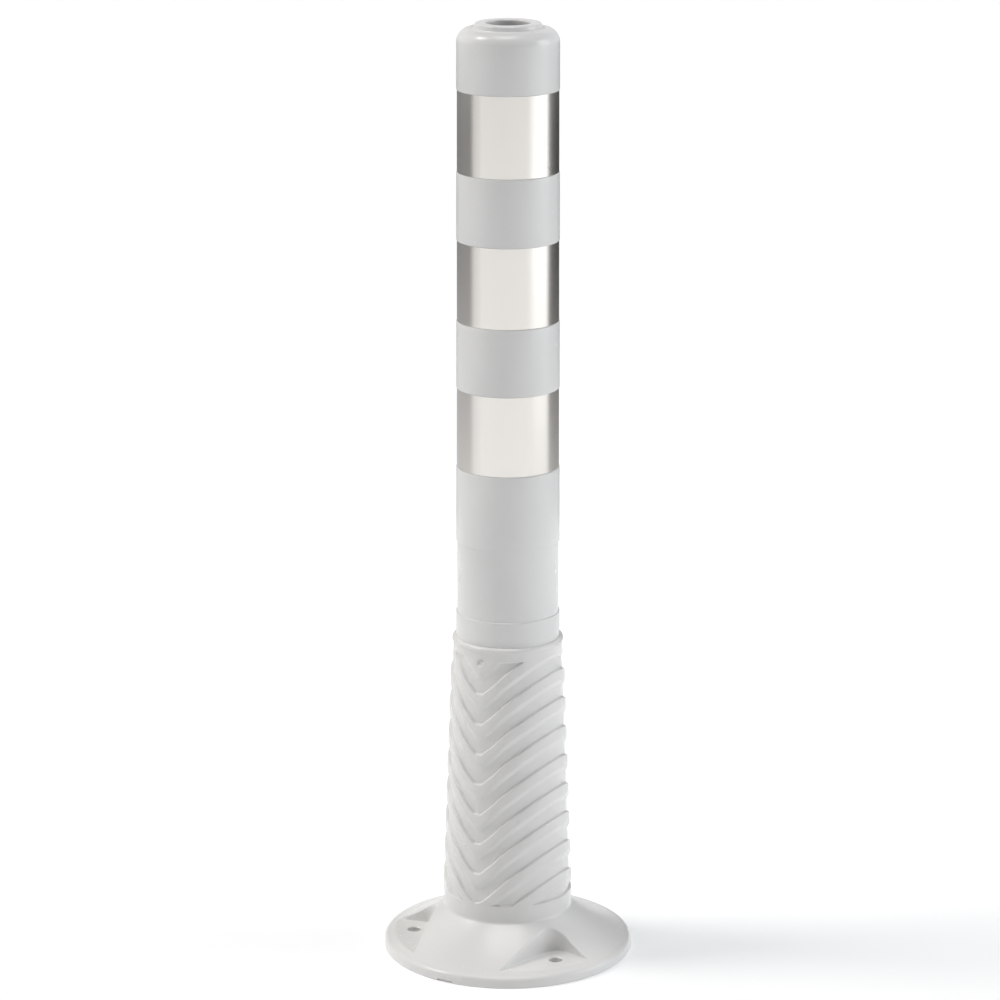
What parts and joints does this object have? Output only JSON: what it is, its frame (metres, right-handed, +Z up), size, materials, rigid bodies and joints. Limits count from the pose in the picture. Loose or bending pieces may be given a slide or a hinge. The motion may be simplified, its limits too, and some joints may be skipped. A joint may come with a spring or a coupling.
{
  "type": "delineator post",
  "caption": "Self-righting round delineator post: flanged elastic foot with chevron grooves, plug-in tube, reflective bands and an open neck.",
  "frame": {"origin": "centre of the flange's underside, on the surface that the post stands on", "axes": "+Z up along the post; the YZ plane is the one in which the chevron grooves point, with the rim notch on the -Y side and the rear bolt hole on the +Y side"},
  "size_m": [0.2, 0.2, 0.75],
  "materials": {
    "white_elastomer": "satin white moulded polyurethane, slightly warm",
    "white_plastic": "semi-matt white moulded polyurethane",
    "silver_film": "silver retroreflective film with fine glass beads"
  },
  "bodies": {
    "foot": {"flexible_foot": "white_elastomer"},
    "post": {"post_tube": "white_plastic", "reflective_band_upper": "silver_film", "reflective_band_middle": "silver_film", "reflective_band_lower": "silver_film"}
  },
  "joints": [
    {"name": "post_bend", "type": "hinge", "parent": "foot", "child": "post", "pos_m": [0, 0, 0.125], "axis": [1, 0, 0], "range_deg": [-90, 90], "stiffness_Nm_per_rad": 120, "deforming": ["flexible_foot"]}
  ]
}
